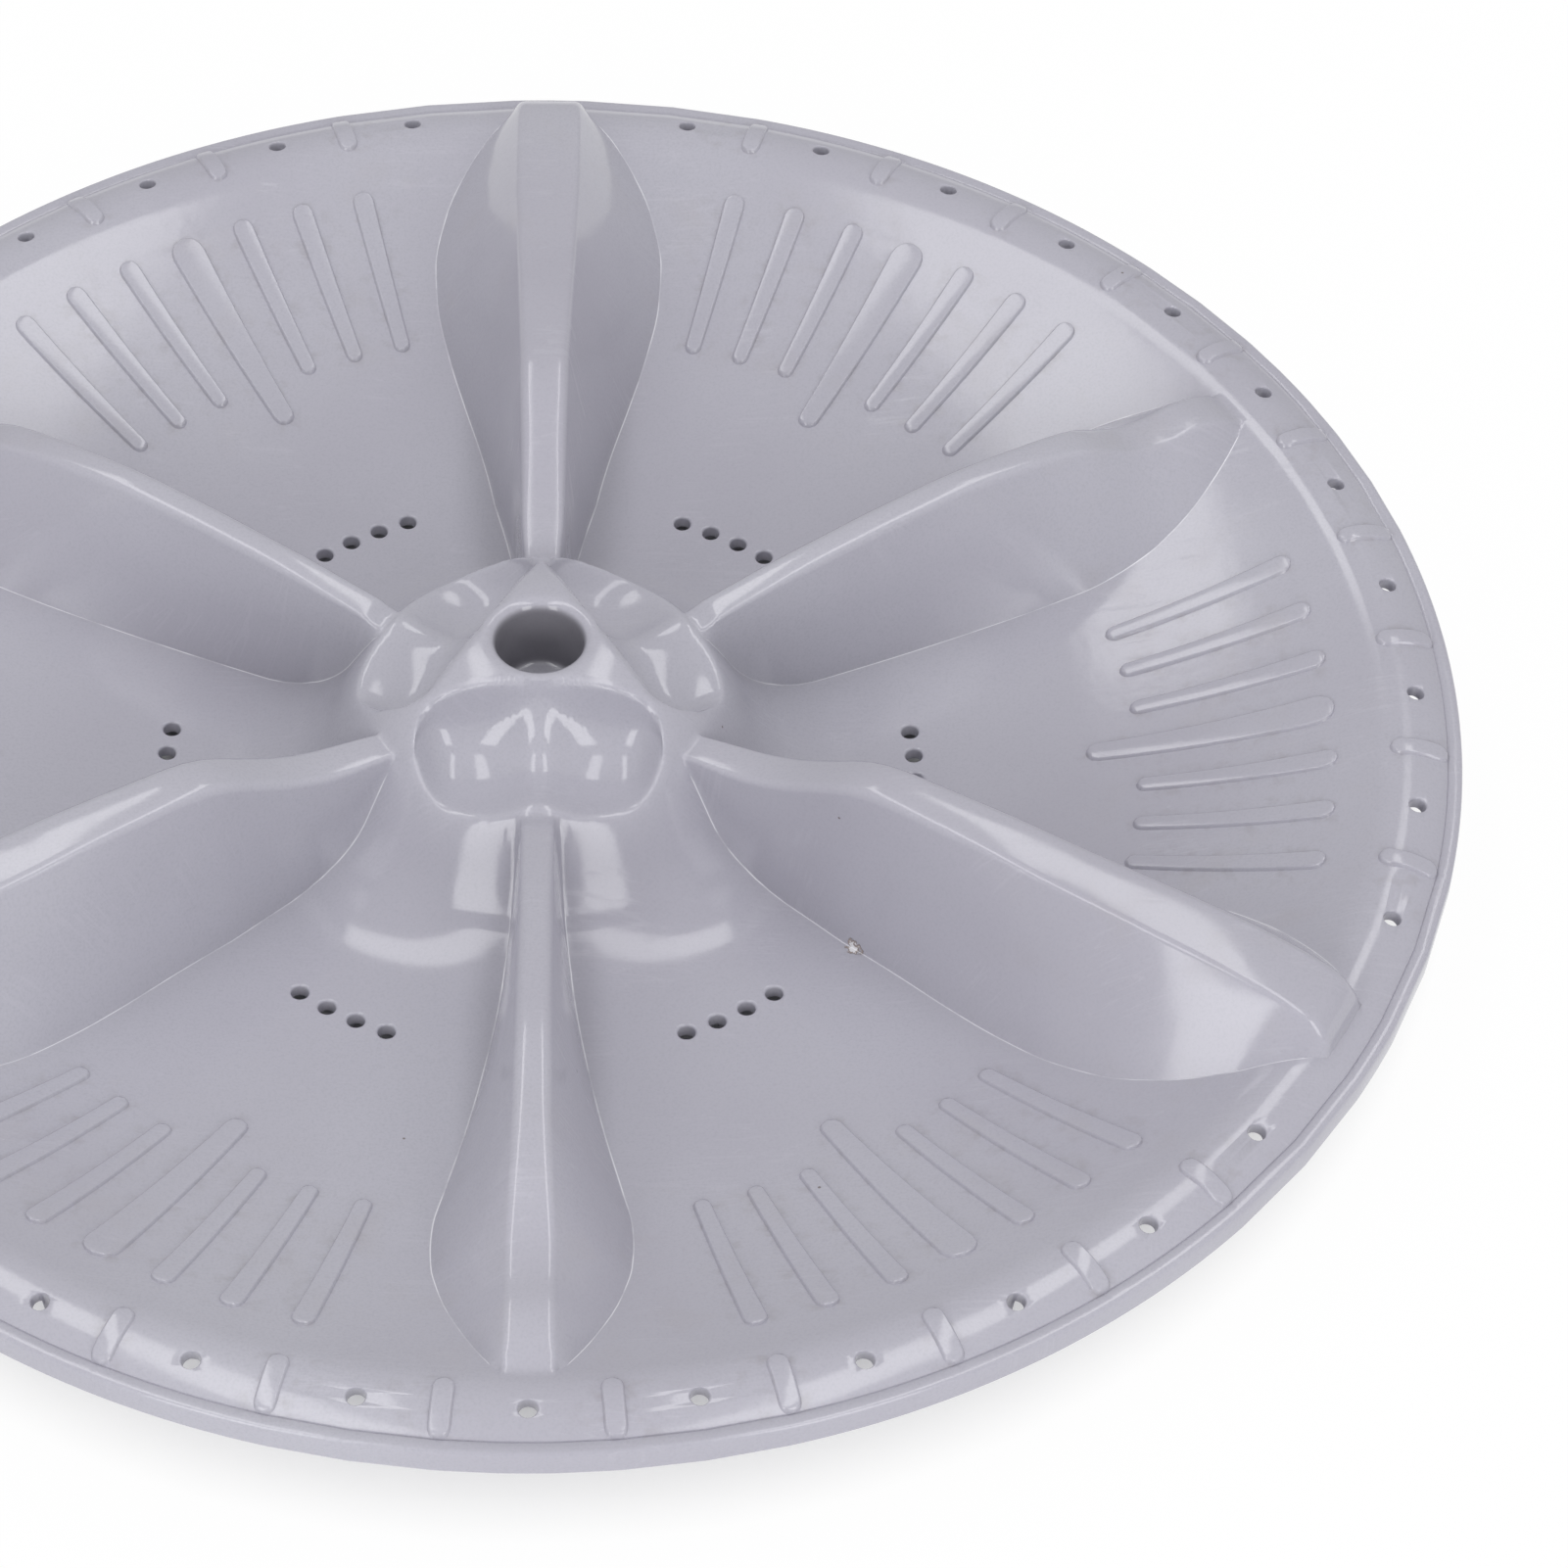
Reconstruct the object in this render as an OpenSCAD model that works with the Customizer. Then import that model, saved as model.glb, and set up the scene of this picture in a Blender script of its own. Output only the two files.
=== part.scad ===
// Washing machine pulsator: a dished disc with six hollow vanes, a domed hub and drain holes.
// Lengths in millimetres. Z runs up the drive axis and z = 0 is the plane the disc rests on.
// Heights written "over the rim" count from the plane of the rim drain holes.

/* [Disc] */
// Outer diameter of the disc
disc_d = 340; // [280:1:410]
// Wall thickness of the moulding
wall = 2.6; // [1.8:0.1:3.6]
// Depth of the dish below the rim
dish_depth = 21.1; // [17:0.1:26]
// Radius of the lowest ring of the dish
dish_low_r = 58; // [50:1:66]
// Radius of the rounded rim band in section
band_r = 14; // [10:0.5:18]
// Distance of the rim band's crest in from the outer edge
band_inset = 10.2; // [9:0.1:13]
// Height of the outer wall
skirt_h = 5.7; // [4:0.1:9]
// Height of the rim band's crest over the rim holes
crest_lift = 0.3; // [0:0.1:1]
// Distance of the groove in from the outer edge
groove_inset = 2.8; // [2:0.1:4]
// Depth of the groove inside the lip
groove_depth = 0.3; // [0.1:0.1:0.6]
// Width of the groove's sloping side
groove_w = 0.5; // [0.3:0.1:1]
// Rounding of the lip's outer edge
lip_r = 0.8; // [0.3:0.1:1.2]
// Distance of the parting line below the lip
parting_drop = 3.6; // [2:0.1:4]
// Step at the parting line
parting_step = 0.15; // [0.05:0.05:0.3]

/* [Hub] */
// Height of the hub over the rim
hub_h = 14.1; // [11:0.1:17]
// Radius of the hub dome in section
dome_r = 30; // [25:0.5:36]
// Bore for the screw head
bore_d = 16; // [12:0.5:20]
// Depth of that bore
bore_depth = 15; // [10:0.5:18]
// Rounding between the bore and its seat
seat_corner = 1.5; // [0.5:0.1:3]
// Rounding at the mouth of the bore
mouth_r = 2.4; // [1:0.1:3]
// Clearance hole for the shaft screw
screw_d = 6.5; // [4:0.1:8.5]
// Thickness of the seat under the screw head
seat_t = 3.5; // [2.5:0.1:5]
// Outer diameter of the drive boss
boss_d = 30; // [25:0.5:36]
// Root diameter of the drive spline
spline_d = 12; // [9:0.1:15]
// Depth of the spline teeth
spline_tooth = 1; // [0.6:0.1:1.4]
// Number of spline teeth
spline_n = 11; // [8:1:14]

/* [Hub recesses] */
// Distance from the axis to the inner edge of a recess
recess_in = 10.9; // [10:0.1:13]
// Distance from the axis to the outer edge of a recess
recess_out = 35; // [31:0.1:38]
// Width of a recess
recess_w = 44.6; // [36:0.2:50]
// Corner radius of a recess in plan
recess_corner = 8; // [5:0.5:10]
// Depth of the recess floor below the rim
recess_floor = 1.9; // [0:0.1:4]
// Distance from the axis to the lowest line of a recess
recess_low = 21.1; // [19:0.1:24]
// Height that the bowl climbs towards the hub bore
bowl_in_h = 7.9; // [6:0.1:9]
// Height that the bowl climbs towards the dish
bowl_out_h = 4; // [3:0.1:5]
// Height that the bowl climbs at either side
bowl_side_h = 7.2; // [5:0.1:9]
// Distance from the recess axis to the middle of a lobe
lobe_mid = 12.3; // [9:0.1:14]
// Radius of a lobe in section
lobe_r = 13.9; // [12:0.1:20]
// Rise of the ridge's flanks per millimetre
flank_rise = 0.28; // [0.2:0.01:0.34]
// Radius of the ridge between the lobes
ridge_r = 6.8; // [4:0.1:9]

/* [Vanes] */
// Crest height of the tall vanes over the rim
tall_h = 14.5; // [12:0.1:18]
// Crest height of the stepped vanes over the rim
low_h = 10.1; // [8:0.1:13]
// Rounding of the crest edges
crest_r = 2; // [1:0.1:2.6]
// Width factor of the vane feet
foot_scale = 1; // [0.8:0.01:1.15]

/* [Drain holes] */
// Diameter of the drain holes
hole_d = 3.2; // [2.4:0.1:4.2]
// Rounded lead-in around each hole
hole_lead = 0.5; // [0.2:0.1:0.8]
// Distance of the rim holes in from the outer edge
rim_hole_inset = 8; // [7:0.1:10]
// Radius of the inner ring of holes
inner_hole_r = 70; // [60:1:80]

/* [Strips] */
// Height of the strips and short ribs over the surface
strip_h = 0.8; // [0.4:0.1:1.2]
// Inner end width of a strip
strip_w_in = 3.3; // [2.4:0.1:4]
// Outer end width of a strip
strip_w_out = 4.4; // [3:0.1:5.4]
// Inner end width of the middle strip
middle_w_in = 4.3; // [3:0.1:5.2]
// Outer end width of the middle strip
middle_w_out = 7; // [5:0.1:8.6]
// Distance from the axis to the inner end of the strips
strip_start = 111; // [104:0.5:120]
// Distance from the axis to the inner end of the middle strip
middle_start = 101.9; // [96:0.1:112]
// Distance from the axis to the outer end of all strips
strip_end = 147.3; // [135:0.1:150]
// Width of the short ribs on the rim band
short_rib_w = 3.9; // [3:0.1:4.8]
// Distance of the short ribs' inner ends in from the outer edge
short_rib_inset = 13.6; // [11:0.1:15]
// Distance of the short ribs' outer ends in from the outer edge
short_rib_gap = 2.4; // [2:0.1:4]

/* [Underside] */
// Thickness of the underside ribs
rib_t = 1.8; // [1.4:0.1:2.4]
// Height of the radial ribs below the dish
rib_h = 5; // [3:0.1:7]
// Clearance of the boss end over the resting plane
boss_lift = 0.6; // [0:0.1:1.5]
// Height of the resting ring below the dish
ring_h = 3.2; // [2:0.1:5]
// Distance from the axis to the inner end of the hub webs
web_in = 10; // [8:0.5:14]
// Clearance of the ribs over the resting plane
rib_lift = 0.5; // [0.2:0.1:1.5]
// Widening of the socket at its mouth
socket_lead = 1; // [0.5:0.1:2]
// Depth of that widening
socket_lead_h = 3; // [1:0.5:6]

/* [Hidden] */
$fn = 96;

eps = 0.01;
disc_r = disc_d / 2;
k = disc_r / 170;
rim_z = dish_depth + wall + ring_h;
sector = 60;
third = 120;

// Section of the top surface: four arcs, each tangent to the next.
low_r = dish_low_r * k;
low_z = rim_z - dish_depth;
dome_c = [bore_d / 2, rim_z + hub_h - dome_r];
band_c = [disc_r - band_inset, rim_z + crest_lift - band_r];
function tangent_r(c, rho) =
    (pow(c[0] - low_r, 2) + pow(low_z - c[1], 2) - rho * rho) / (2 * (rho - (low_z - c[1])));
sweep_r = tangent_r(dome_c, dome_r);
dish_r = tangent_r(band_c, band_r);
sweep_c = [low_r, low_z + sweep_r];
dish_c = [low_r, low_z + dish_r];
dome_a = atan2(sweep_c[1] - dome_c[1], sweep_c[0] - dome_c[0]);
band_a = atan2(dish_c[1] - band_c[1], dish_c[0] - band_c[0]);
dome_end = dome_c[0] + dome_r * cos(dome_a);
dish_end = band_c[0] + band_r * cos(band_a);
groove_r = disc_r - groove_inset;
groove_z = band_c[1] + sqrt(band_r * band_r - pow(groove_r - band_c[0], 2));

function top_z(r) =
    r < dome_end ? dome_c[1] + sqrt(max(dome_r * dome_r - pow(r - dome_c[0], 2), 0))
    : r < low_r ? sweep_c[1] - sqrt(sweep_r * sweep_r - pow(low_r - r, 2))
    : r < dish_end ? dish_c[1] - sqrt(dish_r * dish_r - pow(r - low_r, 2))
    : band_c[1] + sqrt(max(band_r * band_r - pow(r - band_c[0], 2), 0));

// Vane stations: share of the disc radius, crest height as share of the full height,
// crest half width and foot half width.
tall_rows = [
    [0.172, 0.05, 3.0, 3.2],
    [0.196, 0.16, 3.3, 3.6],
    [0.217, 0.19, 3.6, 4.1],
    [0.240, 0.23, 3.9, 4.7],
    [0.272, 0.30, 4.1, 5.2],
    [0.308, 0.45, 4.2, 6.0],
    [0.343, 0.65, 4.3, 7.1],
    [0.379, 0.86, 4.4, 8.5],
    [0.408, 0.97, 4.5, 9.8],
    [0.438, 1.00, 4.5, 10.8],
    [0.485, 0.98, 4.7, 12.7],
    [0.556, 0.94, 5.0, 16.2],
    [0.627, 0.86, 5.3, 19.6],
    [0.698, 0.81, 5.5, 22.1],
    [0.751, 0.77, 5.7, 22.6],
    [0.817, 0.72, 5.8, 20.6],
    [0.870, 0.64, 5.9, 16.9],
    [0.911, 0.55, 6.0, 12.7],
    [0.934, 0.46, 6.0, 9.9],
    [0.948, 0.32, 6.0, 8.2],
    [0.958, 0.10, 6.0, 7.2],
    [0.963, -0.20, 6.0, 6.9]
];
low_rows = [
    [0.178, 0.02, 2.6, 3.6],
    [0.201, 0.22, 2.9, 4.0],
    [0.222, 0.31, 2.9, 4.3],
    [0.246, 0.40, 2.9, 4.7],
    [0.272, 0.49, 2.9, 5.2],
    [0.308, 0.61, 2.9, 6.0],
    [0.355, 0.73, 2.9, 7.0],
    [0.450, 0.91, 2.9, 9.6],
    [0.533, 1.00, 2.9, 12.3],
    [0.615, 0.94, 2.9, 15.3],
    [0.669, 0.84, 3.1, 17.0],
    [0.698, 0.73, 3.3, 17.2],
    [0.734, 0.45, 3.6, 16.9],
    [0.769, 0.22, 3.8, 15.7],
    [0.799, 0.18, 3.8, 14.2],
    [0.840, 0.26, 3.9, 11.2],
    [0.870, 0.19, 4.0, 8.6],
    [0.893, 0.03, 4.2, 6.3],
    [0.908, -0.14, 4.3, 4.8],
    [0.917, -0.30, 4.4, 4.6]
];

NODE_COLOR = [0.70, 0.69, 0.74];

module pulsator() {
    color(NODE_COLOR)
    difference() {
        union() {
            shell();
            at_thirds(90) vane(tall_rows, tall_h);
            at_thirds(30) vane(low_rows, low_h);
            at_thirds(30) pocket();
            raised_strips();
            underside_ribs();
            boss();
        }
        at_thirds(90) vane_core(tall_rows, tall_h);
        at_thirds(30) vane_core(low_rows, low_h);
        at_thirds(30) recess();
        hub_bore();
        drive_socket();
        drain_holes();
    }
}

module at_thirds(start) {
    for (i = [0:2]) rotate([0, 0, start + i * third]) children();
}

module at_sectors() {
    for (i = [0:5]) rotate([0, 0, i * sector]) children();
}

function arc(c, r, a0, a1, step) =
    let (n = max(2, ceil(abs(a1 - a0) / step)))
    [for (i = [0:n]) c + r * [cos(a0 + (a1 - a0) * i / n), sin(a0 + (a1 - a0) * i / n)]];

function tail(list) = [for (i = [1:len(list) - 1]) list[i]];
function flip(list) = [for (i = [len(list) - 1:-1:0]) list[i]];

groove_a = atan2(groove_z - band_c[1], groove_r - band_c[0]);

// Section line at a distance above (+) or below (-) the top surface.
function section_line(off, f) = concat(
    arc(dome_c, dome_r + off, 90, dome_a, 4 * f),
    tail(arc(sweep_c, sweep_r - off, dome_a - 180, -90, 5 * f)),
    tail(dish_line(off, f)),
    tail(band_line(off, f))
);
function dish_line(off, f) = arc(dish_c, dish_r - off, -90, band_a - 180, 2 * f);
function band_line(off, f) = arc(band_c, band_r + off, band_a, groove_a, 6 * f);

module shell() {
    groove_side = 0.1;
    parting_z = groove_z - parting_drop;
    rotate_extrude() polygon(concat(
        section_line(0, 1),
        [[groove_r + groove_side, groove_z - groove_depth], [groove_r + groove_side + groove_w, groove_z]],
        arc([disc_r - lip_r, groove_z - lip_r], lip_r, 90, 0, 30),
        [[disc_r, parting_z],
        [disc_r - parting_step, parting_z - parting_step],
        [disc_r - parting_step, groove_z - skirt_h],
        [disc_r - wall, groove_z - skirt_h],
        [disc_r - wall, groove_z - wall]],
        flip(section_line(-wall, 2))
    ));
}

// A cross-section of a vane: feet sunk into the shell, sloping flanks and a rounded crest.
function vane_section(r, crest, w, h) =
    let (
        foot = top_z(norm([r, h])),
        steep = (top_z(r - 1) - top_z(r + 1)) / 2,
        sink = wall / 2 * norm([1, steep]),
        rise = max(crest - foot, 0.5),
        turn = 90 - atan2(h - w, rise),
        rho = min(crest_r, rise / 2),
        in = w - rho * sin(turn / 2),
        slope = (h - w) / rise,
        half = concat(
            [[h + slope * sink, foot - sink]],
            [for (t = [turn : -turn / 3 : 0.01]) [in + rho * sin(t), crest - rho + rho * cos(t)]]
        )
    )
    concat(
        [for (p = half) [r, p[0], p[1]]],
        [[r, 0, crest]],
        [for (i = [len(half) - 1 : -1 : 0]) [r, -half[i][0], half[i][1]]]
    );

module loft(sections) {
    n = len(sections[0]);
    m = len(sections);
    polyhedron(
        points = [for (s = sections) for (p = s) p],
        faces = concat(
            [[for (i = [0:n - 1]) i]],
            [for (j = [0:m - 2]) for (i = [0:n - 1]) [j * n + i, (j + 1) * n + i, (j + 1) * n + (i + 1) % n]],
            [for (j = [0:m - 2]) for (i = [0:n - 1]) [j * n + i, (j + 1) * n + (i + 1) % n, j * n + (i + 1) % n]],
            [[for (i = [n - 1:-1:0]) (m - 1) * n + i]]
        )
    );
}

module vane(rows, height) {
    loft([for (row = rows)
        let (r = row[0] * disc_r, h = max(row[3] * foot_scale * k, row[2] + 0.2))
        vane_section(r, max(rim_z + row[1] * height, top_z(r) - wall / 4), row[2], h)
    ]);
}

// The hollow inside a vane, open to the underside.
module vane_core(rows, height) {
    first = 0.30;
    last = rows[len(rows) - 1][0] - 0.045;
    crest_wall = wall * 0.85;
    foot_wall = wall * 1.25;
    thinnest = 0.6;
    loft([for (row = rows) if (row[0] > first && row[0] < last)
        let (
            r = row[0] * disc_r,
            w = max(row[2] - crest_wall, thinnest),
            h = max(row[3] * foot_scale * k - foot_wall, w + thinnest / 2),
            foot = top_z(norm([r, h])) - wall / 2,
            crest = max(rim_z + row[1] * height - wall, foot + thinnest)
        )
        [[r, h, -1], [r, h, foot], [r, w, crest], [r, -w, crest], [r, -h, foot], [r, -h, -1]]
    ]);
}

// Plan of a recess: straight inner edge and sides, an outer edge round the drive axis, and round corners.
function recess_plan(grow) =
    let (
        out = recess_out + grow,
        side = recess_w / 2 + grow,
        corner = recess_corner + grow,
        in_c = [recess_in - grow + corner, side - corner],
        out_c = [sqrt(pow(out - corner, 2) - pow(side - corner, 2)), side - corner],
        edge_a = atan2(out_c[1], out_c[0]),
        half = concat(
            arc([0, 0], out, edge_a / 12, edge_a, edge_a / 3),
            tail(arc(out_c, corner, edge_a, 90, 12)),
            arc(in_c, corner, 90, 180, 15),
            [[recess_in - grow, side / 3]]
        )
    )
    concat([[out, 0]], half, [[recess_in - grow, 0]], flip([for (p = half) [p[0], -p[1]]]));

// Heights over the recess floor: along the recess axis, and across it over lobes and ridge.
function scoop(share) = 1 - sqrt(1 - pow(min(share, 1), 2));
function bowl_along(u) = u < recess_low
    ? bowl_in_h * scoop((recess_low - u) / (recess_low - recess_in))
    : bowl_out_h * scoop((u - recess_low) / (recess_out - recess_low));
function bowl_side(v) = bowl_side_h * scoop((v - lobe_mid) / (recess_w / 2 - lobe_mid));
function ridge(v) =
    let (
        foot = lobe_mid - lobe_r * flank_rise,
        crown = ridge_r * flank_rise,
        foot_h = pow(foot - lobe_mid, 2) / lobe_r / 2,
        crown_h = foot_h + flank_rise * (foot - crown)
    )
    v > foot ? pow(v - lobe_mid, 2) / lobe_r / 2
    : v > crown ? foot_h + flank_rise * (foot - v)
    : crown_h + (pow(crown, 2) - pow(v, 2)) / ridge_r / 2;
function bowl_h(u, v) =
    let (climb = max(recess_low - u, 0) / (recess_low - recess_in))
    bowl_along(u) + (abs(v) > lobe_mid ? bowl_side(abs(v)) : ridge(abs(v)) * (1 - pow(min(climb, 1), 3)));

// Two-lobed bowl: rings shrink from the plan to the floor, under an upright wall.
module recess_tool(grow, rings, top) {
    floor_z = rim_z - recess_floor - grow;
    outline = recess_plan(grow);
    n = len(outline);
    function ring(share) = [for (o = outline)
        let (u = recess_low + (o[0] - recess_low) * share, v = o[1] * share)
        [u, v, floor_z + bowl_h(u, v)]
    ];
    levels = [for (j = [rings:-1:1]) sin(j / rings * 90)];
    solid = concat([[for (o = outline) [o[0], o[1], top]]], [for (share = levels) ring(share)]);
    m = len(solid);
    polyhedron(
        points = concat([for (s = solid) for (p = s) p], [[recess_low, 0, floor_z + bowl_h(recess_low, 0)]]),
        faces = concat(
            [[for (i = [n - 1:-1:0]) i]],
            [for (j = [0:m - 2]) for (i = [0:n - 1]) [j * n + i, j * n + (i + 1) % n, (j + 1) * n + (i + 1) % n]],
            [for (j = [0:m - 2]) for (i = [0:n - 1]) [j * n + i, (j + 1) * n + (i + 1) % n, (j + 1) * n + i]],
            [for (i = [0:n - 1]) [(m - 1) * n + i, (m - 1) * n + (i + 1) % n, m * n]]
        )
    );
}

module recess() {
    above_hub = 4;
    recess_tool(0, 6, rim_z + hub_h + above_hub);
}

// Wall that carries the recess inside the hollow hub.
module pocket() {
    above_hub = 1;
    intersection() {
        recess_tool(wall, 3, rim_z + hub_h + above_hub);
        rotate_extrude() polygon(concat([[0, 0]], arc(dome_c, dome_r - wall / 2, 90, dome_a, 12), [[dome_end, 0]]));
    }
}

module boss() {
    below_hub = wall / 2 + 1;
    translate([0, 0, boss_lift]) cylinder(d = boss_d, h = rim_z + hub_h - below_hub - boss_lift);
}

module hub_bore() {
    top = rim_z + hub_h;
    seat = top - bore_depth;
    corner = seat_corner;
    over = 1;
    r = bore_d / 2;
    rotate_extrude() {
        translate([0, seat]) square([r - corner, bore_depth + over]);
        translate([0, seat + corner]) square([r, bore_depth + over - corner]);
        translate([r - corner, seat + corner]) circle(corner);
        difference() {
            translate([0, top - mouth_r]) square([r + mouth_r, mouth_r + over]);
            translate([r + mouth_r, top - mouth_r]) circle(mouth_r);
        }
    }
}

module drive_socket() {
    seat = rim_z + hub_h - bore_depth;
    socket_top = seat - seat_t;
    tooth_half = spline_d / 2 * sin(180 / spline_n) * 0.55;
    tooth_base = 1;
    translate([0, 0, socket_top - eps]) cylinder(d = screw_d, h = seat_t + 1);
    translate([0, 0, -1]) linear_extrude(socket_top + 1) {
        circle(spline_d / 2 - spline_tooth);
        for (i = [0:spline_n - 1]) rotate(i * 360 / spline_n) polygon([
            [0, -tooth_base],
            [spline_d / 2, -tooth_half],
            [spline_d / 2, tooth_half],
            [0, tooth_base]
        ]);
    }
    translate([0, 0, -1]) cylinder(d = spline_d + 2 * socket_lead, h = 1 + boss_lift + socket_lead_h);
}

module strip_plan(r0, r1, w0, w1) {
    polygon(concat(
        arc([r0 + w0 / 2, 0], w0 / 2, 90, 270, 45),
        arc([r1 - w1 / 2, 0], w1 / 2, -90, 90, 45)
    ));
}

module raised_band(line_out, line_in, width_a) {
    rotate([0, 0, -width_a / 2]) rotate_extrude(angle = width_a) polygon(concat(line_out, flip(line_in)));
}

module raised_strips() {
    tall = rim_z * 2;
    rooted = -1;
    fan = 40;
    short_fan = 4;
    at_sectors() intersection() {
        raised_band(dish_line(strip_h, 1), dish_line(rooted, 4), fan);
        linear_extrude(tall) {
            strip_plan(middle_start * k, strip_end * k, middle_w_in, middle_w_out);
            for (a = [-15:5:15]) if (a != 0) rotate(a)
                strip_plan(strip_start * k, strip_end * k, strip_w_in, strip_w_out);
        }
    }
    for (i = [0:35]) {
        a = 85 - 10 * i;
        if (!beside_tall_vane(a)) rotate(a) intersection() {
            raised_band(band_line(strip_h, 1), band_line(rooted, 2), short_fan);
            linear_extrude(tall)
                strip_plan(disc_r - short_rib_inset, disc_r - short_rib_gap, short_rib_w, short_rib_w);
        }
    }
}

function beside_tall_vane(a) = abs(((a - 90) % third + third) % third - third / 2) > third / 2 - 6;
function at_tall_vane(a) = abs(((a - 90) % third + third) % third - third / 2) > third / 2 - 1;

module drain_tool() {
    r = hole_d / 2;
    below = -wall - 0.8;
    above = 0.5;
    rotate_extrude() polygon([
        [0, below],
        [r, below],
        [r, -hole_lead],
        [r + hole_lead, 0],
        [r + hole_lead, above],
        [0, above]
    ]);
}

module drain_holes() {
    r = disc_r - rim_hole_inset;
    seat = 0.1;
    for (i = [0:35]) {
        a = 90 - 10 * i;
        if (!at_tall_vane(a)) rotate(a) translate([r, 0, top_z(r) + seat]) drain_tool();
    }
    at_sectors() for (a = [-7.5:5:7.5])
        rotate(a) translate([inner_hole_r * k, 0, top_z(inner_hole_r * k) + seat]) drain_tool();
}

module underside_ribs() {
    edge = low_r;
    web_step = (edge - web_in) / 12;
    rib_step = (disc_r - wall - edge) / 16;
    rotate_extrude() translate([edge - rib_t / 2, 0]) square([rib_t, low_z - wall / 2]);
    at_sectors() rotate([90, 0, 0]) translate([0, 0, -rib_t / 2]) linear_extrude(rib_t) {
        polygon(concat(
            [[web_in, boss_lift]],
            [for (r = [web_in : web_step : edge + eps]) [r, top_z(r) - wall / 2]],
            [[edge, boss_lift]]
        ));
        polygon(concat(
            [for (r = [edge : rib_step : disc_r - wall + eps]) [r, top_z(min(r, groove_r)) - wall / 2]],
            [for (r = [disc_r - wall / 2 : -rib_step : edge + 1])
                [r, max(top_z(min(r, groove_r)) - wall - rib_h, r > groove_r ? groove_z - skirt_h : rib_lift)]],
            [[edge, boss_lift]]
        ));
    }
}

pulsator();
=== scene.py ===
import math

import bmesh
import bpy
from mathutils import Matrix, Vector


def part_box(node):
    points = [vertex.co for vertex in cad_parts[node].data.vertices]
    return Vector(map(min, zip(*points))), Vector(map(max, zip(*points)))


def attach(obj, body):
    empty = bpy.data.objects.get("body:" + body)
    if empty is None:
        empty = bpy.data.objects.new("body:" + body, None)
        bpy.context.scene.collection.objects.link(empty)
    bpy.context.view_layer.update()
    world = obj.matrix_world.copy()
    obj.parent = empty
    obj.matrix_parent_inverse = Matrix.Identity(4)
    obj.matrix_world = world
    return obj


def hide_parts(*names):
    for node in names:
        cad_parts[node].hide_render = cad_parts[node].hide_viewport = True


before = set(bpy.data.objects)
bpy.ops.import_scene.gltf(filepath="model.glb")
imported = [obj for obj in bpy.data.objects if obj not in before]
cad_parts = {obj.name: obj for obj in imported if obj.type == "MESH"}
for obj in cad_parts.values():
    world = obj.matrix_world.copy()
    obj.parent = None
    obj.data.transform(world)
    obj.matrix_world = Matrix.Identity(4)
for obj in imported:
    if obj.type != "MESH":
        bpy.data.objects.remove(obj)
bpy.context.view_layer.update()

# Camera: a long lens looking down on the disc from the front. The picture is square, the aim is
# its middle, and the small roll is the tilt of the hand-held shot.
eye = Vector((0.01418, -0.66121, 0.72191))
aim = Vector((0.04447, -0.02351, 0.0269))
roll = math.radians(2.206)
camera_data = bpy.data.cameras.new("camera")
camera_data.lens = 119.44
camera_data.sensor_width = 36
camera = bpy.data.objects.new("camera", camera_data)
forward = (aim - eye).normalized()
level_right = forward.cross(Vector((0, 0, 1))).normalized()
level_up = level_right.cross(forward)
right = level_right * math.cos(roll) + level_up * math.sin(roll)
up = level_up * math.cos(roll) - level_right * math.sin(roll)
camera.matrix_world = Matrix((
    (right.x, up.x, -forward.x, eye.x),
    (right.y, up.y, -forward.y, eye.y),
    (right.z, up.z, -forward.z, eye.z),
    (0, 0, 0, 1),
))
bpy.context.scene.collection.objects.link(camera)
bpy.context.scene.camera = camera
bpy.context.scene.view_settings.view_transform = "Standard"


# Floor: white paper sheet, lying flat under the disc. It shows as plain white round the disc
# and keeps the soft shadow under the rim.
def linear(code):
    channels = [int(code[i:i + 2], 16) / 255 for i in (1, 3, 5)]
    return [c / 12.92 if c < 0.04045 else ((c + 0.055) / 1.055) ** 2.4 for c in channels] + [1]


def node(material, kind, settings, links):
    made = material.node_tree.nodes.new(kind)
    for name, value in settings.items():
        if isinstance(name, int) or name in made.inputs:
            made.inputs[name].default_value = value
        else:
            setattr(made, name, value)
    for name, source in links.items():
        material.node_tree.links.new(source, made.inputs[name])
    return made


def material_named(name):
    material = bpy.data.materials.new(name)
    material.use_nodes = True
    material.node_tree.nodes.clear()
    return material


paper = material_named("matte_white_paper")
paper_face = node(paper, "ShaderNodeBsdfDiffuse", {"Color": linear("#F4F4F6")}, {})
paper_glow = node(paper, "ShaderNodeEmission", {"Color": linear("#FFFFFF"), "Strength": 1}, {})
paper_ray = node(paper, "ShaderNodeLightPath", {}, {})
seen = node(paper, "ShaderNodeMath", {"operation": "MAXIMUM"}, {
    0: paper_ray.outputs["Is Camera Ray"],
    1: paper_ray.outputs["Is Glossy Ray"],
})
seen_through = node(paper, "ShaderNodeMath", {"operation": "MAXIMUM"}, {
    0: seen.outputs[0],
    1: paper_ray.outputs["Is Transmission Ray"],
})
paper_place = node(paper, "ShaderNodeTexCoord", {}, {})
from_axis = node(paper, "ShaderNodeVectorMath", {"operation": "LENGTH"}, {0: paper_place.outputs["Object"]})
clear_of_disc = node(paper, "ShaderNodeMapRange", {
    "From Min": 0.13, "From Max": 0.17, "To Min": 0, "To Max": 0.97,
}, {"Value": from_axis.outputs["Value"]})
glow_share = node(paper, "ShaderNodeMath", {"operation": "MULTIPLY"}, {
    0: seen_through.outputs[0],
    1: clear_of_disc.outputs[0],
})
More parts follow.
